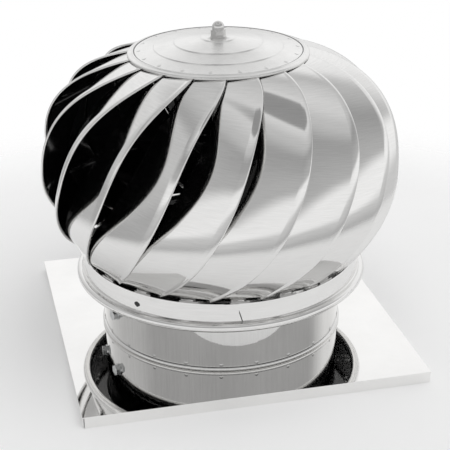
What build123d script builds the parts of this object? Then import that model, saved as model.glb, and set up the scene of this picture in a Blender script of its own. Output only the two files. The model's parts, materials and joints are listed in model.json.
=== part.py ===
from build123d import *
import math
import os

# Roof turbine ventilator. Millimetres, +Z up.
# The origin is the middle of the lower edge of the base plate's flanges, where the plate rests.
# Angles are degrees about the spin axis, from +X towards +Y.

# ---- driving dimensions --------------------------------------------------------------------
PLATE_SIDE = 350.0        # square base plate
PLATE_FLANGE = 12.0       # depth of its turned-down edges
SHEET = 1.0               # stainless sheet used throughout
COLLAR_RADIUS = 126.0     # outside of the fixed collar
COLLAR_TOP = 80.0         # heights from here on are above the base plate's top face
RING_TOP = 85.0           # rotating ring that carries the blades' lower ends
RING_BEAD_RADIUS = 148.5  # middle line of the ring's rolled edge
RING_BEAD_HEIGHT = 61.5
CAP_RADIUS = 90.5
CAP_RIM_HEIGHT = 295.0
CAP_CENTRE_HEIGHT = 309.0
BELLY_RADIUS = 183.4      # widest reach of the blades
BELLY_HEIGHT = 173.0
BLADE_COUNT = 18

PLATE_TOP = PLATE_FLANGE
BLADE_STEP = 360.0 / BLADE_COUNT
BRIDGE_ANGLE = 8.0        # direction of the bearing bridge across the collar
COLLAR_RIVETS = 22
FRONT_RIVET_ANGLE = -103.0

os.makedirs("parts", exist_ok=True)


# ---- small helpers -------------------------------------------------------------------------
def save(node, shape):
    shape.label = node
    export_step(shape, f"parts/{node}.step")


def raised(shape):
    """Lift a shape built above the plate's top face to its place above the origin."""
    return Pos(0, 0, PLATE_TOP) * shape


def polar(radius, angle, height=0.0):
    a = math.radians(angle)
    return (radius * math.cos(a), radius * math.sin(a), height)


def turned(points, degrees=360.0, start=0.0):
    """Solid of revolution about Z from (radius, height) points."""
    outline = Polyline(*[(r, 0, z) for r, z in points], close=True)
    body = revolve(make_face(outline), Axis.Z, degrees)
    return Rot(0, 0, start) * body


def tube(outer, inner, low, high):
    return turned([(inner, low), (outer, low), (outer, high), (inner, high)])


def rod(radius, low, high):
    return Pos(0, 0, (low + high) / 2) * Cylinder(radius, high - low)


def group(shapes):
    return Compound(children=[s.solid() for s in shapes])


def hexagon_prism(across_flats, low, high):
    face = RegularPolygon(across_flats / 2, 6, major_radius=False)
    return Pos(0, 0, low) * extrude(face, high - low)


def radial(shape, angle, radius, height):
    """Place a shape that points along +Z so that it points outwards at an angle and radius."""
    return Pos(*polar(radius, angle, height)) * Rot(0, 0, angle) * Rot(0, 90, 0) * shape


# ---- blade surface -------------------------------------------------------------------------
# A blade is one strip of sheet. Its four long lines, from the outside in, are the lip's edge,
# the bend behind the lip, the deep fold and the inner edge. Each line is a height, a radius
# and an angle that change smoothly from the ring (u = 0) to the cap (u = 1).
SHELL_LOW = (87.0, 144.5)     # height and radius of the blades' envelope at the ring
SHELL_HIGH = (293.0, 90.0)    # and under the cap's rim
UPPER_POWER = 2.7             # fullness of the envelope above the belly
LOWER_POWER = 1.9             # and below it
LIP_BAND = 2.0                # degrees from the lip's edge to the bend behind it
LIP_DROP = 2.0                # depth of that bend
BLADE_STATIONS = 12


def envelope_radius(height):
    """Radius of the blades' outer envelope: one superellipse above the belly, one below."""
    if height > BELLY_HEIGHT:
        end, power = SHELL_HIGH, UPPER_POWER
    else:
        end, power = SHELL_LOW, LOWER_POWER
    flat = (1 - (end[1] / BELLY_RADIUS) ** power) ** (1 / power)
    reach = abs(height - BELLY_HEIGHT) * flat / abs(end[0] - BELLY_HEIGHT)
    return BELLY_RADIUS * (1 - min(reach, 1.0) ** power) ** (1 / power)


def along(height):
    """Share of the way from the ring to the cap, and a bulge that is 1 halfway."""
    u = (height - SHELL_LOW[0]) / (SHELL_HIGH[0] - SHELL_LOW[0])
    return u, 4 * u * (1 - u)


def lip_angle(height):
    t = 2 * along(height)[0] - 1
    return -100 + 12.6 * t - 3 * t ** 2 + 11.5 * t ** 3


def lip_edge(height):
    return envelope_radius(height), lip_angle(height)


def lip_bend(height):
    return envelope_radius(height) - LIP_DROP, lip_angle(height) - LIP_BAND


def deep_fold(height):
    u, bulge = along(height)
    depth = 25 - 20 * u + 31 * bulge
    lag = -0.4 + 2.9 * u + 9.7 * bulge
    return envelope_radius(height) - depth, lip_angle(height) - BLADE_STEP + lag


def inner_edge(height):
    u, bulge = along(height)
    depth = 14 - 9.5 * u + 21.75 * bulge
    lag = -6 + 7.5 * u + 4.3 * bulge
    return envelope_radius(height) - depth, lip_angle(height) - BLADE_STEP + lag


# Each line: its rule, the height of its lower end, and the radius its tongue reaches under the cap
BLADE_LINES = [(inner_edge, 86.0, 72.0), (deep_fold, 86.0, 72.0), (lip_bend, 94.5, 74.0), (lip_edge, 96.0, 74.0)]
TONGUE_HEIGHT = 296.2


def line_points(rule, low, tongue_radius):
    """Points along one long line, closer together where the strip turns over the shoulder."""
    points = []
    for i in range(BLADE_STATIONS):
        share = math.sin(0.5 * math.pi * i / (BLADE_STATIONS - 1))
        height = low + (SHELL_HIGH[0] - low) * share
        radius, angle = rule(height)
        points.append(Vector(*polar(radius, angle, height)))
    points.append(Vector(*polar(tongue_radius, rule(SHELL_HIGH[0])[1], TONGUE_HEIGHT)))
    return points


def offset_points(lines, row, station, half):
    """The two skin points at one point of the strip, half a sheet to either side."""
    here = lines[row][station]
    before = lines[row][max(station - 1, 0)]
    after = lines[row][min(station + 1, len(lines[row]) - 1)]
    lengthwise = after - before
    normals = []
    for a, b in ((row - 1, row), (row, row + 1)):
        if a >= 0 and b < len(lines):
            across = lines[b][station] - lines[a][station]
            normals.append(across.cross(lengthwise).normalized())
    normal = sum(normals[1:], normals[0]).normalized()
    spread = half / max(normal.dot(normals[0]), 0.6)
    return here + normal * spread, here - normal * spread


def make_blade():
    lines = [line_points(*line) for line in BLADE_LINES]
    stations = len(lines[0])
    skins = {1: [], -1: []}
    for row in range(len(lines)):
        pairs = [offset_points(lines, row, s, SHEET / 2) for s in range(stations)]
        skins[1].append([p[0] for p in pairs])
        skins[-1].append([p[1] for p in pairs])
    curves = {side: [Edge.make_spline(points) for points in skins[side]] for side in skins}
    faces = []
    last = len(lines) - 1
    for side in skins:
        for row in range(last):
            faces.append(Face.make_surface_from_curves(curves[side][row], curves[side][row + 1]))
    for row in (0, last):
        faces.append(Face.make_surface_from_curves(curves[1][row], curves[-1][row]))
    for end in (0, -1):
        for row in range(last):
            near = Edge.make_line(skins[1][row][end], skins[1][row + 1][end])
            far = Edge.make_line(skins[-1][row][end], skins[-1][row + 1][end])
            faces.append(Face.make_surface_from_curves(near, far))
    return Solid(Shell(faces))



# ---- turbine: blades -----------------------------------------------------------------------
FOOT_RADIUS = 139.0           # where each blade's foot stands on the ring's ledge
FOOT_ANGLE = -8.2             # from the blade's own lip line at the ring
FOOT_SHARES = (0.40, 0.66)    # stretch of the main face's lower edge that the foot hangs from
FOOT_RIVET_PITCH = 9.0
RIVET_SHANK = 1.6
CAP_RIVET_RADIUS = 80.0
CAP_RIVET_ANGLE = -9.5        # from the blade's own lip line at the cap


def foot_angle():
    return lip_angle(SHELL_LOW[0]) + FOOT_ANGLE


def foot_rivet_angles():
    half = math.degrees(FOOT_RIVET_PITCH / 2 / FOOT_RADIUS)
    return [foot_angle() - half, foot_angle() + half]


def make_foot():
    """The blade's foot: a web down from its lower edge and a tab turned out onto the ring's ledge."""
    fold = Vector(*polar(*deep_fold(BLADE_LINES[1][1]), BLADE_LINES[1][1]))
    bend = Vector(*polar(*lip_bend(BLADE_LINES[2][1]), BLADE_LINES[2][1]))
    edge = [fold + (bend - fold) * share for share in FOOT_SHARES]
    floor = [Vector(p.X, p.Y, RING_TOP) for p in edge]
    top = [Vector(p.X, p.Y, p.Z + 1.3) for p in edge]
    web = extrude(make_face(Polyline(floor[0], floor[1], top[1], top[0], close=True)), SHEET / 2, both=True)
    outer = [Vector(*polar(FOOT_RADIUS + 4, foot_angle() + turn, RING_TOP)) for turn in (3.8, -3.8)]
    tab = extrude(make_face(Polyline(floor[0], floor[1], *outer, close=True)), SHEET, dir=(0, 0, 1))
    return web + tab


def drill(shape, spots, radius, low, high):
    for r, angle in spots:
        x, y, _ = polar(r, angle)
        shape = shape - Pos(x, y, 0) * rod(radius, low, high)
    return shape


def make_finished_blade():
    blade = make_blade() + make_foot()
    blade = drill(blade, [(FOOT_RADIUS, a) for a in foot_rivet_angles()], RIVET_SHANK, RING_TOP - 2, RING_TOP + 3)
    cap_hole = (CAP_RIVET_RADIUS, lip_angle(SHELL_HIGH[0]) + CAP_RIVET_ANGLE)
    return drill(blade, [cap_hole], RIVET_SHANK, 285, 300)


blade = make_finished_blade()

for number in range(BLADE_COUNT):
    save(f"blade_{number + 1:02d}", raised(Rot(0, 0, number * BLADE_STEP) * blade))

# ---- turbine: ring -------------------------------------------------------------------------
LEDGE_INNER = 128.0
WALL_TOP = 144.5
WALL_FOOT = 146.0
GROOVE_HEIGHT = 66.5
BEAD = 4.5                    # radius of the rolled edge
LAP_START, LAP_SWEEP = -101.6, 5.6
HOLE_ANGLE = -137.4

ring = turned([
    (LEDGE_INNER, RING_TOP - SHEET), (WALL_TOP - SHEET, RING_TOP - SHEET),
    (WALL_FOOT - SHEET, GROOVE_HEIGHT), (RING_BEAD_RADIUS - 2, RING_BEAD_HEIGHT + 2),
    (RING_BEAD_RADIUS, RING_BEAD_HEIGHT + 3), (WALL_FOOT, GROOVE_HEIGHT),
    (WALL_TOP, RING_TOP), (LEDGE_INNER, RING_TOP),
])
ring += Pos(0, 0, RING_BEAD_HEIGHT) * Torus(RING_BEAD_RADIUS, BEAD)
ring += turned([
    (WALL_TOP - 0.2, RING_TOP), (WALL_TOP + 0.7, RING_TOP),
    (WALL_FOOT + 0.7, GROOVE_HEIGHT + 1), (WALL_FOOT - 0.2, GROOVE_HEIGHT + 1),
], LAP_SWEEP, LAP_START)
ring -= radial(extrude(SlotOverall(6, 3.2), 12), HOLE_ANGLE, WALL_FOOT - 6, 73.5)
ring_rivet_spots = [
    (FOOT_RADIUS, angle + number * BLADE_STEP)
    for number in range(BLADE_COUNT) for angle in foot_rivet_angles()
]
ring = drill(ring, ring_rivet_spots, RIVET_SHANK, RING_TOP - 2, RING_TOP + 2)
save("ring", raised(ring))


def rivet(shank, head, rise, low, high):
    """Upright rivet: shank from low to high with a low domed head above it."""
    dome_radius = (head ** 2 + rise ** 2) / (2 * rise)
    dome = Pos(0, 0, high + rise - dome_radius) * Sphere(dome_radius)
    dome = dome & rod(head, high, high + rise)
    return rod(shank, low, high) + dome


def at_spots(shape, spots):
    return group([Pos(*polar(r, angle)) * shape for r, angle in spots])


ring_rivet = rivet(RIVET_SHANK, 2.6, 1.0, RING_TOP - SHEET, RING_TOP + SHEET)
save("ring_rivets", raised(at_spots(ring_rivet, ring_rivet_spots)))

# ---- turbine: cap and hub ------------------------------------------------------------------
CAP_STEPS = [                 # radius and height of the cap's pressed outer face, from the rim in
    (CAP_RADIUS, CAP_RIM_HEIGHT), (86.6, 295.5), (85.8, 296.6), (84.4, 296.3),
    (64.8, 299.4), (64.0, 300.2), (44.4, 303.9), (43.6, 304.8), (18.0, 308.5), (17.2, 309.3), (16.0, CAP_CENTRE_HEIGHT),
]
CENTRE_FLOOR = CAP_CENTRE_HEIGHT
HUB_SEAT = 299.0
HUB_DISC = 1.5
STUD = 4.0
NECK = 5.0
SPINDLE = 6.0

cap_outside = CAP_STEPS + [(STUD + 0.05, CENTRE_FLOOR)]
cap_inside = [(r, z - SHEET) for r, z in reversed(cap_outside)]
top_cap = turned(cap_outside + cap_inside)
cap_spots = [
    (CAP_RIVET_RADIUS, lip_angle(SHELL_HIGH[0]) + CAP_RIVET_ANGLE + number * BLADE_STEP)
    for number in range(BLADE_COUNT)
]
top_cap = drill(top_cap, cap_spots, RIVET_SHANK, 290, 300)
save("top_cap", raised(top_cap))

disc_under = [(NECK + 0.05, HUB_SEAT), (20, HUB_SEAT), (72, 293.9), (83, 291.15)]
hub_disc = turned(disc_under + [(r, z + HUB_DISC) for r, z in reversed(disc_under)])
hub_disc = drill(hub_disc, cap_spots, RIVET_SHANK, 285, 300)
save("hub_disc", raised(hub_disc))
cap_slope = math.degrees(math.atan2(299.4 - 296.3, 84.4 - 64.8))
cap_face = 299.4 - (CAP_RIVET_RADIUS - 64.8) * math.tan(math.radians(cap_slope))
cap_rivet = rod(RIVET_SHANK, 290.8, cap_face)
cap_rivet += Pos(0, 0, cap_face + 0.04) * Rot(0, cap_slope, 0) * rivet(1.2, 2.0, 0.4, -0.4, 0)
save("cap_rivets", raised(group([Rot(0, 0, angle) * Pos(r, 0, 0) * cap_rivet for r, angle in cap_spots])))

BUSH_LOW = HUB_SEAT - 15
hub_bush = tube(11, NECK + 0.03, BUSH_LOW, HUB_SEAT)
save("hub_bush", raised(hub_bush))
sleeve_low = HUB_SEAT + HUB_DISC
save("hub_spacer", raised(tube(9, NECK + 0.03, sleeve_low, CENTRE_FLOOR - SHEET)))
WASHER = 1.4
save("cap_washer", raised(tube(8, STUD + 0.2, CENTRE_FLOOR, CENTRE_FLOOR + WASHER)))

# Acorn nut, M8: 13 across flats, 15 high, 6.5 of it hexagon
NUT_LOW = CENTRE_FLOOR + WASHER
NUT_HEX = 6.5
NUT_HEIGHT = 15.0
DOME = 6.1
hexagon = hexagon_prism(13, NUT_LOW, NUT_LOW + NUT_HEX)
hexagon &= Pos(0, 0, NUT_LOW + NUT_HEX - 8.6) * Sphere(10.9)
dome_low = NUT_LOW + NUT_HEIGHT - DOME
acorn_nut = hexagon + rod(DOME, NUT_LOW + 5, dome_low) + Pos(0, 0, dome_low) * Sphere(DOME)
stud_top = NUT_LOW + 11
acorn_nut -= rod(STUD + 0.04, NUT_LOW - 1, stud_top + 0.5)
save("acorn_nut", raised(acorn_nut))

# ---- bearings: 6201 size, 12 x 32 x 10 -----------------------------------------------------
RACE_OUTER = 16.0
RACE_WIDTH = 10.0
PITCH_RADIUS = 11.0
BALL = 2.95
GROOVE = 3.0
BALLS = 8
LOWER_BEARING, UPPER_BEARING = 58.0, 104.0    # mid heights
BEARINGS = {"lower": LOWER_BEARING, "upper": UPPER_BEARING}
half_width = RACE_WIDTH / 2


def race(outer, inner, middle):
    ring_blank = tube(outer, inner, middle - half_width, middle + half_width)
    return ring_blank - Pos(0, 0, middle) * Torus(PITCH_RADIUS, GROOVE)


cages = []
balls = []
for name, middle in BEARINGS.items():
    save(f"{name}_inner_race", raised(race(9.1, SPINDLE + 0.02, middle)))
    save(f"{name}_outer_race", raised(race(RACE_OUTER, 12.9, middle)))
    cage = tube(11.9, 10.1, middle - 3.9, middle + 3.9)
    for i in range(BALLS):
        turn = i * 360 / BALLS
        cage -= radial(rod(BALL + 0.1, -3, 3), turn, PITCH_RADIUS, middle)
        balls.append(Pos(*polar(PITCH_RADIUS, turn, middle)) * Sphere(BALL))
    cages.append(cage)
save("ball_cages", raised(group(cages)))
save("bearing_balls", raised(group(balls)))

# ---- spindle -------------------------------------------------------------------------------
LOWER_FACE = LOWER_BEARING - half_width
UPPER_FACE = UPPER_BEARING + half_width
SHOULDER = 8.5
THREAD_LOW = LOWER_FACE - 15
spindle = turned([
    (0, THREAD_LOW), (NECK - 0.8, THREAD_LOW), (NECK, THREAD_LOW + 0.8), (NECK, LOWER_FACE), (SPINDLE, LOWER_FACE),
    (SPINDLE, UPPER_FACE), (SHOULDER, UPPER_FACE), (SHOULDER, UPPER_FACE + 5), (7, UPPER_FACE + 6),
    (7, BUSH_LOW), (NECK, BUSH_LOW), (NECK, CENTRE_FLOOR - SHEET - 0.5), (STUD, CENTRE_FLOOR - SHEET - 0.5),
    (STUD, stud_top - 0.8), (STUD - 0.8, stud_top), (0, stud_top),
])
save("spindle", raised(spindle))
save("inner_spacer", raised(tube(8, SPINDLE + 0.03, LOWER_BEARING + half_width, UPPER_BEARING - half_width)))
save("spindle_washer", raised(tube(10, NECK + 0.2, LOWER_FACE - 1.5, LOWER_FACE)))
lock_nut = hexagon_prism(16, LOWER_FACE - 9.5, LOWER_FACE - 1.5) - rod(NECK + 0.04, THREAD_LOW, LOWER_FACE)
save("spindle_nut", raised(lock_nut))

# ---- base: housing and bridge --------------------------------------------------------------
BRIDGE_TOP = 47.0
BRIDGE_SHEET = 3.0
BRIDGE_WIDTH = 52.0
BRIDGE_END_LOW = 22.0
HOUSING_OUTER = 20.0
HOUSING_FLANGE = 32.0
FLANGE_THICK = 5.0
SEAT = LOWER_FACE
CLIP = 1.2
housing_top = UPPER_FACE + CLIP + 1.8
clip_low = UPPER_FACE + 0.05
housing = turned([
    (13.5, BRIDGE_TOP), (HOUSING_FLANGE, BRIDGE_TOP), (HOUSING_FLANGE, BRIDGE_TOP + FLANGE_THICK),
    (HOUSING_OUTER, BRIDGE_TOP + FLANGE_THICK), (HOUSING_OUTER, housing_top), (RACE_OUTER + 0.02, housing_top),
    (RACE_OUTER + 0.02, clip_low + CLIP), (17.2, clip_low + CLIP), (17.2, clip_low), (RACE_OUTER + 0.02, clip_low),
    (RACE_OUTER + 0.02, UPPER_FACE - RACE_WIDTH), (14.5, UPPER_FACE - RACE_WIDTH),
    (14.5, LOWER_FACE + RACE_WIDTH), (RACE_OUTER + 0.02, LOWER_FACE + RACE_WIDTH),
    (RACE_OUTER + 0.02, SEAT), (13.5, SEAT),
])
SCREW_CIRCLE = 26.0
screw_spots = [(SCREW_CIRCLE, BRIDGE_ANGLE + 45 + 90 * i) for i in range(4)]
housing = drill(housing, screw_spots, 2.75, BRIDGE_TOP - 1, BRIDGE_TOP + 10)
save("bearing_housing", raised(housing))
circlip = tube(17.1, 13.6, clip_low, clip_low + CLIP)
circlip -= Rot(0, 0, BRIDGE_ANGLE) * Pos(15.5, 0, clip_low) * Box(8, 5, 4)
save("circlip", raised(circlip))
shield_low = housing_top - 0.6
save("bearing_shield", raised(turned([
    (9.5, shield_low + 0.6), (21.2, shield_low + 0.6), (21.2, shield_low - 5),
    (22, shield_low - 5), (22, shield_low + 1.4), (9.5, shield_low + 1.4),
])))
save("dust_seal", raised(turned([
    (7, UPPER_FACE + 7), (12, UPPER_FACE + 7), (14.5, UPPER_FACE + 5.2), (15.2, UPPER_FACE + 5.9), (12.6, UPPER_FACE + 9),
    (12.6, UPPER_FACE + 12), (7, UPPER_FACE + 12),
])))

collar_inner = COLLAR_RADIUS - SHEET
bridge_reach = collar_inner - 0.05
web = Pos(0, 0, BRIDGE_TOP - BRIDGE_SHEET / 2) * Box(2 * COLLAR_RADIUS, BRIDGE_WIDTH, BRIDGE_SHEET)
bridge = web
for side in (-1, 1):
    stiffener = Pos(0, side * (BRIDGE_WIDTH - 2.5) / 2, BRIDGE_TOP - 8) * Box(2 * COLLAR_RADIUS - 40, 2.5, 16)
    bridge += stiffener
    strap = tube(COLLAR_RADIUS, bridge_reach - BRIDGE_SHEET, BRIDGE_END_LOW, BRIDGE_TOP)
    strap &= Pos(side * COLLAR_RADIUS, 0, 35) * Box(40, BRIDGE_WIDTH, 60)
    bridge += strap
bridge &= rod(bridge_reach, 0, 100)
bridge -= rod(13.5, 0, 100)
BOLT_OFFSET = 9.8             # degrees to either side of the bridge's end
BOLT_HEIGHT = 33.0
BOLT_RADIUS = 3.0
BOLT_HOLE = 3.2
bolt_angles = [end + turn for end in (0, 180) for turn in (-BOLT_OFFSET, BOLT_OFFSET)]
for angle in bolt_angles:
    bridge -= radial(rod(BOLT_HOLE, 0, 20), angle, collar_inner - 10, BOLT_HEIGHT)
bridge = Rot(0, 0, BRIDGE_ANGLE) * bridge
bridge = drill(bridge, screw_spots, 2.6, 30, 60)
save("bearing_bridge", raised(bridge))

screw = rod(2.5, BRIDGE_TOP - 8, BRIDGE_TOP + FLANGE_THICK)
screw += hexagon_prism(8, BRIDGE_TOP + FLANGE_THICK, BRIDGE_TOP + FLANGE_THICK + 3.5)
save("housing_screws", raised(at_spots(screw, screw_spots)))
screw_nut = hexagon_prism(8, BRIDGE_TOP - BRIDGE_SHEET - 4, BRIDGE_TOP - BRIDGE_SHEET) - rod(2.5, 30, 60)
save("housing_nuts", raised(at_spots(screw_nut, screw_spots)))

bridge_bolts = []
bridge_nuts = []
bolt = rod(BOLT_RADIUS, -9, 0) + rod(6.2, 0, 1.2) + hexagon_prism(10, 1.2, 5.2)
bolt_nut = hexagon_prism(10, -5, 0) - rod(BOLT_RADIUS, -6, 1)
for angle in bolt_angles:
    turn = angle + BRIDGE_ANGLE
    bridge_bolts.append(radial(bolt, turn, COLLAR_RADIUS, BOLT_HEIGHT))
    bridge_nuts.append(radial(bolt_nut, turn, bridge_reach - BRIDGE_SHEET - 0.2, BOLT_HEIGHT))
save("bridge_bolts", raised(group(bridge_bolts)))
save("bridge_nuts", raised(group(bridge_nuts)))

# ---- base: collar and plate ----------------------------------------------------------------
COLLAR_FOOT_BEAD = 2.4
bead_top = 2 * COLLAR_FOOT_BEAD
outline = Polyline(
    (COLLAR_RADIUS, 0, 0), (collar_inner, 0, 0), (collar_inner, 0, COLLAR_TOP),
    (COLLAR_RADIUS, 0, COLLAR_TOP), (COLLAR_RADIUS, 0, bead_top),
)
outline += ThreePointArc(
    (COLLAR_RADIUS, 0, bead_top), (COLLAR_RADIUS + COLLAR_FOOT_BEAD, 0, COLLAR_FOOT_BEAD), (COLLAR_RADIUS, 0, 0),
)
collar = revolve(make_face(outline), Axis.Z, 360)
for angle in bolt_angles:
    collar -= radial(rod(BOLT_HOLE, 0, 20), angle + BRIDGE_ANGLE, collar_inner - 10, BOLT_HEIGHT)
rivet_angles = [FRONT_RIVET_ANGLE + i * 360 / COLLAR_RIVETS for i in range(COLLAR_RIVETS)]
UPSTAND = 10.0
RIVET_HEIGHT = 6.8
throat = collar_inner - SHEET
pop_rivet = rivet(1.3, 2.1, 0.7, -2 * SHEET, 0)
for angle in rivet_angles:
    collar -= radial(rod(1.3, 0, 20), angle, collar_inner - 10, RIVET_HEIGHT)
save("collar", raised(collar))
save("collar_rivets", raised(group([radial(pop_rivet, a, COLLAR_RADIUS, RIVET_HEIGHT) for a in rivet_angles])))

plate = Pos(0, 0, PLATE_TOP / 2) * Box(PLATE_SIDE, PLATE_SIDE, PLATE_FLANGE)
inside = PLATE_SIDE - 2 * SHEET
plate -= Pos(0, 0, (PLATE_TOP - SHEET) / 2) * Box(inside, inside, PLATE_FLANGE - SHEET)
plate += raised(tube(throat + SHEET, throat, -SHEET, UPSTAND))
plate -= rod(throat, -5, PLATE_TOP + 5)
CORNER_SLOT = 1.6
for sx in (-1, 1):
    for sy in (-1, 1):
        corner = Pos(sx * PLATE_SIDE / 2, sy * PLATE_SIDE / 2, (PLATE_FLANGE - SHEET) / 2)
        plate -= corner * Box(2 * CORNER_SLOT, 2 * CORNER_SLOT, PLATE_FLANGE - SHEET)
for angle in rivet_angles:
    plate -= raised(radial(rod(1.3, 0, 20), angle, throat - 10, RIVET_HEIGHT))
save("base_plate", plate)
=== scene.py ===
import json
import math
import bpy
import bmesh
from mathutils import Matrix, Vector


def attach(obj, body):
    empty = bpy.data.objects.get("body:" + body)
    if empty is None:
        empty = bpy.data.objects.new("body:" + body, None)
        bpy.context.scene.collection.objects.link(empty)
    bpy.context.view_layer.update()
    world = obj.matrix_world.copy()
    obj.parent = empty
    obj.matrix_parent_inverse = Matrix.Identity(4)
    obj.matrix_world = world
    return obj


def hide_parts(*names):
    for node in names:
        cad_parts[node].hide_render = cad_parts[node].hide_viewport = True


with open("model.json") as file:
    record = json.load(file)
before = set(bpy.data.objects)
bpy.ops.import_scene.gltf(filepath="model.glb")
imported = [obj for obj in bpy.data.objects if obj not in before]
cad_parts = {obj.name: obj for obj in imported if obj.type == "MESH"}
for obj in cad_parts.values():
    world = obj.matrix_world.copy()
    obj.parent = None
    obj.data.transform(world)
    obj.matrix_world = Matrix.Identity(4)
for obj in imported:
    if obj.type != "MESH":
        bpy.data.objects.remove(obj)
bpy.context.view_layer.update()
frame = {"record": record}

MM = 0.001
PLATE = 12.0                      # the base plate's top face above the origin, mm
SHEET = 1.0                       # sheet thickness, mm


# ---------------------------------------------------------------- camera
AZIMUTH, ELEVATION, ROLL = -12.894, 24.138, -0.558
DISTANCE, AIM_HEIGHT = 1.339, 0.1161
FOCAL, FRAME_SIZE, MIDDLE_COLUMN = 1262.6, 450.0, 220.1
SENSOR = 36.0


def make_camera():
    """Camera in front, a little left and above, with the lens shifted sideways."""
    azimuth, elevation, roll = (math.radians(v) for v in (AZIMUTH, ELEVATION, ROLL))
    back = Vector((math.sin(azimuth) * math.cos(elevation), -math.cos(azimuth) * math.cos(elevation),
                   math.sin(elevation)))
    right = Vector((math.cos(azimuth), math.sin(azimuth), 0.0))
    up = back.cross(right)
    turned_right = right * math.cos(roll) + up * math.sin(roll)
    turned_up = up * math.cos(roll) - right * math.sin(roll)
    data = bpy.data.cameras.new("camera")
    data.sensor_width = SENSOR
    data.lens = FOCAL / FRAME_SIZE * SENSOR
    data.shift_x = (FRAME_SIZE / 2 - MIDDLE_COLUMN) / FRAME_SIZE
    camera = bpy.data.objects.new("camera", data)
    bpy.context.scene.collection.objects.link(camera)
    place = Matrix((turned_right, turned_up, back)).transposed().to_4x4()
    place.translation = Vector((0, 0, AIM_HEIGHT)) + back * DISTANCE
    camera.matrix_world = place
    bpy.context.scene.camera = camera


make_camera()
bpy.context.scene.view_settings.view_transform = "Standard"


# ---------------------------------------------------------------- node helpers
class Nodes:
    """Small wrapper that adds nodes to a tree and links them in one call."""

    def __init__(self, tree, clear=True):
        self.tree = tree
        if clear:
            tree.nodes.clear()

    def add(self, kind, inputs=None, **settings):
        node = self.tree.nodes.new(kind)
        for key, value in settings.items():
            setattr(node, key, value)
        for key, value in (inputs or {}).items():
            if isinstance(value, bpy.types.NodeSocket):
                self.tree.links.new(value, node.inputs[key])
            else:
                node.inputs[key].default_value = value
        return node

    def math(self, operation, a, b):
        return self.add("ShaderNodeMath", {0: a, 1: b}, operation=operation).outputs[0]

    def scaled(self, value, factor, offset):
        inputs = {0: value, 1: factor, 2: offset}
        return self.add("ShaderNodeMath", inputs, operation="MULTIPLY_ADD").outputs[0]

    def vector(self, operation, inputs, output=0):
        return self.add("ShaderNodeVectorMath", inputs, operation=operation).outputs[output]

    def noise(self, coords, scale, detail, roughness=0.5):
        inputs = {"Vector": coords, "Scale": scale, "Detail": detail, "Roughness": roughness}
        return self.add("ShaderNodeTexNoise", inputs).outputs[0]

    def rise(self, value, low, high, start=0.0, end=1.0):
        inputs = {"Value": value, "From Min": low, "From Max": high, "To Min": start, "To Max": end}
        return self.add("ShaderNodeMapRange", inputs, interpolation_type="SMOOTHSTEP").outputs[0]

    def blend(self, factor, first, second):
        return self.add("ShaderNodeMixShader", {0: factor, 1: first, 2: second}).outputs[0]

    def ramp(self, factor, stops, mode="LINEAR"):
        node = self.add("ShaderNodeValToRGB", {"Fac": factor})
        node.color_ramp.interpolation = mode
        while len(node.color_ramp.elements) < len(stops):
            node.color_ramp.elements.new(0.5)
        for element, (place, colour) in zip(node.color_ramp.elements, stops):
            element.position = place
            element.color = (*colour, 1)
        return node.outputs["Color"]


def grey(v):
    return (v, v, v)


def new_material(name):
    material = bpy.data.materials.new(name)
    material.use_nodes = True
    return material, Nodes(material.node_tree)


PLAIN = (1, 1, 1)


def steel(name, tone, roughness, streak, scale, stretch=PLAIN, bump=0.02, tint=(1.0, 0.995, 0.985)):
    """Polished sheet: fine drawn grain, faint roughness streaks and soft handling marks."""
    material, n = new_material(name)
    coords = n.add("ShaderNodeTexCoord").outputs["Object"]
    drawn = n.add("ShaderNodeMapping", {"Vector": coords, "Scale": stretch}).outputs[0]
    grain = n.noise(drawn, scale, 5.0, 0.6)
    cloud = n.noise(coords, 14.0, 3.0, 0.55)
    streaked = n.scaled(grain, streak, roughness - streak / 2)
    smudged = n.scaled(cloud, 0.03, streaked)
    dark = tuple(tone * 0.94 * c for c in tint)
    pale = tuple(min(tone * 1.05, 1.0) * c for c in tint)
    colour = n.ramp(grain, [(0.25, dark), (0.75, pale)])
    bumped = n.add("ShaderNodeBump", {"Strength": bump, "Distance": 0.0006, "Height": grain})
    shader = n.add("ShaderNodeBsdfPrincipled", {
        "Base Color": colour, "Metallic": 1.0, "Roughness": smudged, "Normal": bumped.outputs[0]})
    n.add("ShaderNodeOutputMaterial", {"Surface": shader.outputs[0]})
    return material


def gloss_black(name, tone=0.006, roughness=0.07):
    """Black gloss with faint dust and wipe marks: painted shade on the blades' inner sides and on the ring's
    hole and lap gap, and the seal's own black rubber.
    """
    material, n = new_material(name)
    coords = n.add("ShaderNodeTexCoord").outputs["Object"]
    cloud = n.noise(coords, 22.0, 4.0)
    dust = n.noise(coords, 900.0, 2.0)
    specks = n.ramp(dust, [(0.74, grey(0.0)), (0.78, grey(1.0))])
    colours = {"Factor": specks, "A": (tone, tone, tone * 1.05, 1), "B": (0.08, 0.08, 0.08, 1)}
    colour = n.add("ShaderNodeMix", colours, data_type="RGBA").outputs[2]
    rough = n.scaled(cloud, 0.05, roughness - 0.025)
    bumped = n.add("ShaderNodeBump", {"Strength": 0.05, "Distance": 0.001, "Height": cloud})
    shader = n.add("ShaderNodeBsdfPrincipled", {
        "Base Color": colour, "Roughness": rough, "Normal": bumped.outputs[0], "IOR": 1.5})
    n.add("ShaderNodeOutputMaterial", {"Surface": shader.outputs[0]})
    return material


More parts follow.
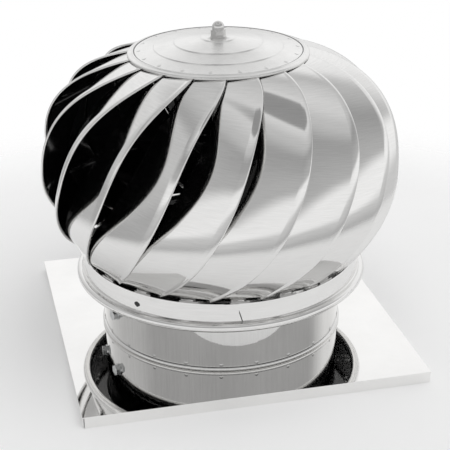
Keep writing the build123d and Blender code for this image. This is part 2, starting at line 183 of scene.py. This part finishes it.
def painted_shade_inside(material, reach, drop=-0.3):
    """Painted shade: black gloss on the faces nearer the axis than reach that look inwards, or down past
    drop, for the dark inside and underside.
    """
    n = Nodes(material.node_tree, clear=False)
    out = n.tree.nodes["Material Output"]
    outer = out.inputs["Surface"].links[0].from_socket
    geometry = n.add("ShaderNodeNewGeometry")
    normal = geometry.outputs["True Normal"]
    level = n.vector("MULTIPLY", {0: geometry.outputs["Position"], 1: (1, 1, 0)})
    radius = n.vector("LENGTH", {0: level}, "Value")
    facing = n.vector("DOT_PRODUCT", {0: level, 1: normal}, "Value")
    inward = n.math("LESS_THAN", facing, -0.01)
    steepness = n.add("ShaderNodeSeparateXYZ", {0: normal}).outputs["Z"]
    down = n.math("LESS_THAN", steepness, drop)
    shaded_faces = n.math("MAXIMUM", inward, down)
    near = n.math("LESS_THAN", radius, reach)
    share = n.math("MULTIPLY", shaded_faces, near)
    # painted shade colour for the inward and downward faces
    colour = (0.006, 0.006, 0.0065, 1)
    black = n.add("ShaderNodeBsdfPrincipled", {"Base Color": colour, "Roughness": 0.08})
    n.tree.links.new(n.blend(share, outer, black.outputs[0]), out.inputs["Surface"])


def circular_grain(material):
    """Circular brushing about the axis: highlights stretch from the centre to the rim."""
    n = Nodes(material.node_tree, clear=False)
    shader = n.tree.nodes["Principled BSDF"]
    around = n.add("ShaderNodeTangent", direction_type="RADIAL", axis="Z").outputs[0]
    n.tree.links.new(around, shader.inputs["Tangent"])
    shader.inputs["Anisotropic"].default_value = 0.85
    shader.inputs["Anisotropic Rotation"].default_value = 0.25


BLADE_OUT = steel("blade_sheet", 0.80, 0.07, 0.05, 55, (1, 1, 26), bump=0.012)
# painted shade: the blades' inner side in black
BLADE_PAINTED_SHADE = gloss_black("blade_painted_shade")
EDGE = steel("cut_edge", 0.95, 0.5, 0.05, 140)
EDGE.node_tree.nodes["Principled BSDF"].inputs["Metallic"].default_value = 0.15
RING_STEEL = steel("ring_sheet", 0.82, 0.10, 0.05, 40, (1, 1, 20))
COLLAR_STEEL = steel("collar_sheet", 0.74, 0.035, 0.015, 30, (22, 22, 1), bump=0.003)
PLATE_STEEL = steel("plate_sheet", 0.90, 0.02, 0.015, 9, bump=0.004)
CAP_STEEL = steel("cap_sheet", 0.80, 0.24, 0.05, 60, bump=0.015)
NUT_STEEL = steel("nut_steel", 0.72, 0.13, 0.08, 180)
RIVET = steel("rivet_alloy", 0.55, 0.22, 0.08, 400)
ZINC = steel("zinc_plate", 0.66, 0.24, 0.1, 300, tint=(0.97, 0.99, 1.0))
BRASS = steel("brass_cage", 0.75, 0.25, 0.1, 300, tint=(1.0, 0.8, 0.42))
# painted shade for the ring's hole and lap gap
PAINTED_SHADE_BLACK = gloss_black("painted_shade_black")
RUBBER = gloss_black("seal_rubber", tone=0.02, roughness=0.55)

circular_grain(CAP_STEEL)
# Painted shade: the ring's, collar's and cap's inward and downward faces are turned black.
painted_shade_inside(RING_STEEL, 0.1462)
painted_shade_inside(COLLAR_STEEL, 0.1256)
painted_shade_inside(CAP_STEEL, 0.2, drop=-0.5)

SLOT_MATERIALS = {
    "plate_steel": PLATE_STEEL,
    "collar_steel": COLLAR_STEEL,
    "blade_steel": BLADE_OUT,
    "ring_steel": RING_STEEL,
    "cap_steel": CAP_STEEL,
    "polished_steel": NUT_STEEL,
    "rivet_aluminium": RIVET,
    "zinc_fastener": ZINC,
    "galvanised_bracket": ZINC,
    "cast_housing": ZINC,
    "turned_steel": NUT_STEEL,
    "bearing_steel": NUT_STEEL,
    "cage_brass": BRASS,
    "seal_rubber": RUBBER,
}


def dress_cad():
    """Gives every solid the material of its slot."""
    for entry in frame["record"]["subparts"]:
        node = bpy.data.objects.get(entry["node"])
        if node is None:
            continue
        material = SLOT_MATERIALS[entry["material_slot"]]
        for slot in node.material_slots:
            slot.material = material
        if not node.material_slots:
            node.data.materials.append(material)


dress_cad()
# The cap's rivets take its finish.
bpy.data.objects["cap_rivets"].material_slots[0].material = CAP_STEEL

# ---------------------------------------------------------------- blades
# Radii and heights are in mm, heights above the plate's top face; angles are degrees about the axis.
BELLY_RADIUS, BELLY_HEIGHT = 183.4, 173.0
LOW_HEIGHT, LOW_RADIUS = 87.0, 144.5
HIGH_HEIGHT, HIGH_RADIUS = 293.0, 90.0
UPPER_ROUNDNESS, LOWER_ROUNDNESS = 2.7, 1.9
BLADES = 18
STEP = 360.0 / BLADES
LIP_WIDTH, LIP_TURN = 2.0, 2.0    # the bend lies this far inside and behind the lip's edge
LIP_TERMS = (-100.1, 14.55, -4.9, 2.3, 1.9, 7.3)


def envelope_radius(height):
    """Radius of the round shell that the lips lie on."""
    if height > BELLY_HEIGHT:
        end_height, end_radius, power = HIGH_HEIGHT, HIGH_RADIUS, UPPER_ROUNDNESS
    else:
        end_height, end_radius, power = LOW_HEIGHT, LOW_RADIUS, LOWER_ROUNDNESS
    flat = (1 - (end_radius / BELLY_RADIUS) ** power) ** (1 / power)
    reach = abs(height - BELLY_HEIGHT) * flat / abs(end_height - BELLY_HEIGHT)
    return BELLY_RADIUS * (1 - min(reach, 1.0) ** power) ** (1 / power)


def along(height):
    """Share of the shell's height, and a bulge that is 1 halfway and 0 at the ends."""
    u = (height - LOW_HEIGHT) / (HIGH_HEIGHT - LOW_HEIGHT)
    return u, 4 * u * (1 - u)


def lip_angle(height):
    t = 2 * along(height)[0] - 1
    return sum(term * t ** power for power, term in enumerate(LIP_TERMS))


def lip_edge(height):
    return envelope_radius(height), lip_angle(height)


def lip_bend(height):
    return envelope_radius(height) - LIP_WIDTH, lip_angle(height) - LIP_TURN


def inner_edge(height):
    """Free edge tucked behind the lip of the blade in front: its radius and angle."""
    u, bulge = along(height)
    skew = bulge * (u - 0.5)
    depth = 2.5 + 2.8 * u + 20.1 * bulge + 48.7 * skew
    lag = 0.5 + 1.4 * u - 0.2 * bulge + 11.0 * skew
    return envelope_radius(height) - depth, lip_angle(height) - STEP + lag


def point(radius, angle, height):
    a = math.radians(angle)
    return Vector((radius * math.cos(a), radius * math.sin(a), height + PLATE)) * MM


# The blade's long lines: rule, lowest height, radius where the tongue ends under the cap.
LINES = [(inner_edge, 85.6, 72.0), (lip_bend, 87.0, 74.0), (lip_edge, 88.0, 74.0)]
TONGUE_HEIGHT = 296.2
TONGUE_LEAD = 0.8
STATIONS = 64
TONGUE_STATIONS = 8


def smooth_join(start, end, lead, arrive, t):
    """Cubic from start to end that leaves along lead and arrives along arrive."""
    leave = t ** 3 - 2 * t ** 2 + t
    land = t ** 3 - t ** 2
    near_end = 3 * t ** 2 - 2 * t ** 3
    return start * (1 - near_end) + lead * leave + end * near_end + arrive * land


def line_curve(rule, low, tongue):
    """Points along one long line: even in the sine of the share, then a smooth turn into the tongue."""
    points = []
    for i in range(STATIONS):
        share = math.sin(0.5 * math.pi * i / (STATIONS - 1))
        height = low + (HIGH_HEIGHT - low) * share
        points.append(point(*rule(height), height))
    start = points[-1]
    end = point(tongue, rule(HIGH_HEIGHT)[1], TONGUE_HEIGHT)
    arrive = end - start
    lead = (points[-1] - points[-3]).normalized() * arrive.length * TONGUE_LEAD
    for i in range(1, TONGUE_STATIONS + 1):
        points.append(smooth_join(start, end, lead, arrive, i / TONGUE_STATIONS))
    return points


FACE_BULGE = 0.5                  # how far the face swells between its inner edge and the bend
FACE_SHARES = (0.0, 0.06, 0.14, 0.23, 0.32, 0.42, 0.52, 0.62, 0.72, 0.81, 0.89, 0.95, 0.98, 1.0)
HEM = 7.0                         # width of the hem folded behind the lip
HEM_RADIUS = 0.62
HEM_TURNS = (45, 90, 135, 180)
BLADE_MIDDLE = Vector((0, 0, 0.16))


def blade_rows():
    """The strip's rows from its free inner edge over the face and the lip to the hem folded behind it."""
    edge, bend, lip = [line_curve(*line) for line in LINES]
    count = len(edge)
    outward, towards, swells = [], [], []
    for s in range(count):
        before, after = max(s - 1, 0), min(s + 1, count - 1)
        normal = (bend[s] - edge[s]).cross(bend[after] - bend[before]).normalized()
        outward.append(normal if normal.dot(bend[s] - BLADE_MIDDLE) > 0 else -normal)
        towards.append((lip[s] - bend[s]).normalized())
        fade = math.sin(math.pi * s / (STATIONS - 1)) ** 0.5 if s < STATIONS - 1 else 0.0
        swells.append(FACE_BULGE * MM * fade)
    rows = []
    for share in FACE_SHARES:
        bow = 4 * share * (1 - share)
        rows.append([edge[s].lerp(bend[s], share) + outward[s] * (swells[s] * bow) for s in range(count)])
    rows.append([bend[s].lerp(lip[s], 0.5) for s in range(count)])
    rows.append(lip)
    for turn in HEM_TURNS:
        a = math.radians(turn)
        reach = HEM_RADIUS * MM * math.sin(a)
        drop = HEM_RADIUS * MM * (1 - math.cos(a))
        rows.append([lip[s] + towards[s] * reach - outward[s] * drop for s in range(count)])
    for back in (HEM * 0.5, HEM):
        depth = 2 * HEM_RADIUS * MM
        rows.append([lip[s] - outward[s] * depth - towards[s] * (back * MM) for s in range(count)])
    return rows


def mesh_object(name, bm, materials, smooth=True):
    """New object from a bmesh, which is freed."""
    mesh = bpy.data.meshes.new(name)
    bm.to_mesh(mesh)
    bm.free()
    for material in materials:
        mesh.materials.append(material)
    if smooth:
        for polygon in mesh.polygons:
            polygon.use_smooth = True
    piece = bpy.data.objects.new(name, mesh)
    bpy.context.scene.collection.objects.link(piece)
    return piece


def apply_modifiers(piece):
    """Turns the modified shape into the object's own mesh."""
    graph = bpy.context.evaluated_depsgraph_get()
    mesh = bpy.data.meshes.new_from_object(piece.evaluated_get(graph))
    piece.modifiers.clear()
    piece.data = mesh


def make_blade_mesh():
    """One blade: a bright sheet, black on its inner side as painted shade, with pale cut edges."""
    rows = blade_rows()
    bm = bmesh.new()
    grid = [[bm.verts.new(p) for p in row] for row in rows]
    for r in range(len(rows) - 1):
        for s in range(len(rows[0]) - 1):
            bm.faces.new((grid[r][s], grid[r + 1][s], grid[r + 1][s + 1], grid[r][s + 1]))
    bm.normal_update()
    piece = mesh_object("blade_template", bm, [BLADE_OUT, BLADE_PAINTED_SHADE, EDGE])
    solid = piece.modifiers.new("sheet", "SOLIDIFY")
    solid.thickness = SHEET * MM
    solid.offset = 0.0
    solid.use_even_offset = False
    # the inner side takes the painted shade black
    solid.material_offset = 1
    solid.material_offset_rim = 2
    apply_modifiers(piece)
    return piece


LEDGE_HEIGHT = 85.0               # the ring's ledge, which the feet are riveted to
WEB_SHARES = (0.45, 0.72)         # where the web starts and ends across the blade's lower edge
WEB_OVERLAP = 1.3
TAB_RADIUS, TAB_TURN, TAB_HALF_WIDTH = 143.0, -8.2, 3.8


def prism(bm, base, lift):
    """Solid between a flat outline and the same outline moved by lift: its faces."""
    low = [bm.verts.new(p) for p in base]
    high = [bm.verts.new(p + lift) for p in base]
    faces = [bm.faces.new(low[::-1]), bm.faces.new(high)]
    for i in range(len(base)):
        j = (i + 1) % len(base)
        faces.append(bm.faces.new((low[i], low[j], high[j], high[i])))
    return faces


def make_foot(bm):
    """The blade's foot: a web down from its lower edge and a tab on the ring's ledge."""
    inner = point(*inner_edge(86.0), 86.0)
    bend = point(*lip_bend(88.0), 88.0)
    edge = [inner.lerp(bend, share) for share in WEB_SHARES]
    floor = [Vector((p.x, p.y, (LEDGE_HEIGHT + PLATE) * MM)) for p in edge]
    top = [p + Vector((0, 0, WEB_OVERLAP * MM)) for p in edge]
    side = (edge[1] - edge[0]).cross(Vector((0, 0, 1))).normalized() * (SHEET / 2 * MM)
    tab_angle = lip_angle(LOW_HEIGHT) + TAB_TURN
    outer = [point(TAB_RADIUS, tab_angle + turn, LEDGE_HEIGHT) for turn in (TAB_HALF_WIDTH, -TAB_HALF_WIDTH)]
    faces = prism(bm, [p - side for p in (floor[0], floor[1], top[1], top[0])], side * 2)
    faces += prism(bm, [floor[0], floor[1], *outer], Vector((0, 0, SHEET * MM)))
    bmesh.ops.recalc_face_normals(bm, faces=faces)


def make_blades():
    """All the blades, turned one step at a time about the axis."""
    template = make_blade_mesh()
    bm = bmesh.new()
    bm.from_mesh(template.data)
    make_foot(bm)
    bm.to_mesh(template.data)
    bm.free()
    for number in range(BLADES):
        name = f"blade_{number + 1:02d}"
        mesh = template.data.copy()
        mesh.transform(Matrix.Rotation(math.radians(number * STEP), 4, "Z"))
        piece = bpy.data.objects.new(f"sheet_{name}", mesh)
        bpy.context.scene.collection.objects.link(piece)
        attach(piece, "turbine")
        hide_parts(name)
    bpy.data.objects.remove(template)


make_blades()


# ---------------------------------------------------------------- cap and ring
AROUND = 288                      # sides of a full circle


def lathe(name, profile, material):
    """Ring-shaped solid of revolution from a closed profile of (radius, height) points."""
    bm = bmesh.new()
    loops = []
    for i in range(AROUND):
        angle = 360.0 * i / AROUND
        loops.append([bm.verts.new(point(r, angle, z)) for r, z in profile])
    count = len(profile)
    for i in range(AROUND):
        here, there = loops[i], loops[(i + 1) % AROUND]
        for k in range(count):
            m = (k + 1) % count
            bm.faces.new((here[k], there[k], there[m], here[m]))
    bmesh.ops.recalc_face_normals(bm, faces=bm.faces)
    return mesh_object(name, bm, [material])


def rounded_profile(points, steps=4):
    """Profile with its corners rounded, from (radius, height, corner radius) points."""
    out = []
    places = [Vector(p[:2]) for p in points]
    for i, (here, corner) in enumerate(zip(places, (p[2] for p in points))):
        if corner == 0:
            out.append(points[i][:2])
            continue
        start = here + (places[i - 1] - here).normalized() * corner
        end = here + (places[(i + 1) % len(places)] - here).normalized() * corner
        for k in range(steps + 1):
            t = k / steps
            out.append(tuple(start * (1 - t) ** 2 + here * 2 * t * (1 - t) + end * t ** 2))
    return out


# Cap section: centre under the nut, three shallow steps, bead and turned-down rim, then back below.
CAP_SECTION = [
    (4.1, 309.0, 0), (15.2, 309.0, 1.0), (17.0, 309.5, 0.6), (18.4, 308.5, 0.8),
    (43.0, 304.95, 0.4), (44.0, 305.0, 0.3), (45.0, 303.9, 0.5),
    (63.4, 300.35, 0.4), (64.4, 300.4, 0.3), (65.4, 299.4, 0.5),
    (83.6, 296.4, 0.6), (85.4, 296.9, 0.6), (87.0, 296.0, 0.8),
    (90.3, 295.3, 0.3), (91.2, 294.6, 0.4), (91.4, 292.6, 0),
    (90.5, 292.6, 0), (90.3, 294.2, 0), (85.0, 295.3, 0), (64.0, 298.4, 0),
    (44.0, 302.9, 0), (17.0, 307.6, 0), (4.1, 308.0, 0),
]


def make_cap():
    piece = lathe("sheet_cap", rounded_profile(CAP_SECTION), CAP_STEEL)
    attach(piece, "turbine")
    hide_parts("top_cap")


make_cap()

WALL_TOP_RADIUS, WALL_SLOPE = 144.5, 0.08
PATCH_BELOW, PATCH_ABOVE = 0.3, 0.35


def painted_shade_patch(name, outline):
    """Painted shade: thin black plate on the ring's wall from (angle, height) points, with no opening cut.
    """
    bm = bmesh.new()
    inner, outer = [], []
    for angle, height in outline:
        wall = WALL_TOP_RADIUS + (LEDGE_HEIGHT - height) * WALL_SLOPE
        inner.append(bm.verts.new(point(wall - PATCH_BELOW, angle, height)))
        outer.append(bm.verts.new(point(wall + PATCH_ABOVE, angle, height)))
    bm.faces.new(outer)
    bm.faces.new(inner[::-1])
    for i in range(len(outer)):
        j = (i + 1) % len(outer)
        bm.faces.new((outer[i], inner[i], inner[j], outer[j]))
    bmesh.ops.recalc_face_normals(bm, faces=bm.faces)
    piece = mesh_object(name, bm, [PAINTED_SHADE_BLACK], smooth=False)
    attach(piece, "turbine")


HOLE_ANGLE, HOLE_HEIGHT = -137.4, 73.5
LAP_TOP, LAP_FOOT = (HOLE_ANGLE + 40.3, 84.8), (HOLE_ANGLE + 42.5, 66.5)
LAP_WIDTH = 0.4


def make_ring_marks():
    """Painted shade of the slanted oval hole in the ring's wall, and of the gap beside the lap of its seam.
    """
    oval = []
    for k in range(24):
        a = math.radians(15 * k)
        oval.append((HOLE_ANGLE + 1.25 * math.cos(a) + 0.3 * math.sin(a),
                     HOLE_HEIGHT + 2.1 * math.sin(a) - 0.9 * math.cos(a)))
    painted_shade_patch("ring_hole_painted_shade", oval)
    top, foot = LAP_TOP, LAP_FOOT
    painted_shade_patch("ring_lap_gap_painted_shade", [top, (top[0] + LAP_WIDTH, top[1]), (foot[0] + LAP_WIDTH, foot[1]), foot])


make_ring_marks()


# ---------------------------------------------------------------- stage and light
def floor_material():
    """White paper that fades out at its rim, so that it meets the white backdrop without a line."""
    material, n = new_material("floor_paper")
    coords = n.add("ShaderNodeTexCoord").outputs["Object"]
    cloud = n.noise(coords, 3.0, 3.0)
    tone = n.ramp(cloud, [(0.2, grey(0.95)), (0.8, grey(0.98))])
    paper = n.add("ShaderNodeBsdfDiffuse", {"Color": tone})
    clear = n.add("ShaderNodeBsdfTransparent")
    fade = n.rise(n.vector("LENGTH", {0: coords}, "Value"), 0.42, 0.70)
    mixed = n.blend(fade, paper.outputs[0], clear.outputs[0])
    n.add("ShaderNodeOutputMaterial", {"Surface": mixed})
    return material


def make_floor():
    bm = bmesh.new()
    bm.faces.new([bm.verts.new((x, y, 0)) for x, y in ((-1, -1), (1, -1), (1, 1), (-1, 1))])
    piece = mesh_object("floor", bm, [floor_material()], smooth=False)


make_floor()

# Light by the height of the direction, from -1 straight down to 1 straight up.
SKY_FRONT = [(-1.0, 0.62), (-0.35, 0.52), (-0.12, 0.66), (0.02, 1.0), (0.20, 0.98), (0.34, 0.50),
             (0.66, 0.40), (0.84, 0.62), (0.955, 0.80), (0.965, 0.36), (1.0, 0.34)]
SKY_BACK = [(-1.0, 0.70), (-0.10, 0.72), (0.05, 0.90), (0.30, 1.0), (0.60, 0.95), (0.75, 0.60),
            (0.90, 0.72), (0.955, 0.80), (0.965, 0.36), (1.0, 0.34)]


def make_world():
    """White studio: bright band above the horizon, greyer walls in front, light overhead and behind."""
    world = bpy.data.worlds.new("studio")
    bpy.context.scene.world = world
    world.use_nodes = True
    n = Nodes(world.node_tree)
    direction = n.add("ShaderNodeTexCoord").outputs["Generated"]
    parts = n.add("ShaderNodeSeparateXYZ", {0: direction})
    height = n.add("ShaderNodeMapRange", {"Value": parts.outputs["Z"], "From Min": -1.0}).outputs[0]
    front, back = (n.ramp(height, [((z + 1) / 2, grey(v)) for z, v in stops], "EASE")
                   for stops in (SKY_FRONT, SKY_BACK))
    behind = n.rise(parts.outputs["Y"], -0.15, 0.35)
    sky = n.add("ShaderNodeMix", {"Factor": behind, "A": front, "B": back}, data_type="RGBA").outputs[2]
    left_back = n.rise(parts.outputs["X"], -0.9, 0.1, 0.62)
    side = n.add("ShaderNodeMix", {"Factor": behind, "A": 1.0, "B": left_back}, data_type="FLOAT").outputs[0]
    patches = n.scaled(n.noise(direction, 1.6, 2.0), 0.24, 0.88)
    lit = n.add("ShaderNodeBackground", {"Color": sky, "Strength": n.math("MULTIPLY", side, patches)})
    white = n.add("ShaderNodeBackground", {"Color": (1, 1, 1, 1), "Strength": 1.0})
    camera_ray = n.add("ShaderNodeLightPath").outputs["Is Camera Ray"]
    n.add("ShaderNodeOutputWorld", {"Surface": n.blend(camera_ray, lit.outputs[0], white.outputs[0])})


def make_key():
    """Broad soft key light from above and a little to the right, not mirrored in the steel."""
    data = bpy.data.lights.new("key", "SUN")
    data.energy = 1.0
    data.angle = 1.2
    key = bpy.data.objects.new("key", data)
    key.visible_glossy = False
    key.rotation_euler = (math.radians(18), math.radians(14), 0)
    bpy.context.scene.collection.objects.link(key)


make_key()
make_world()
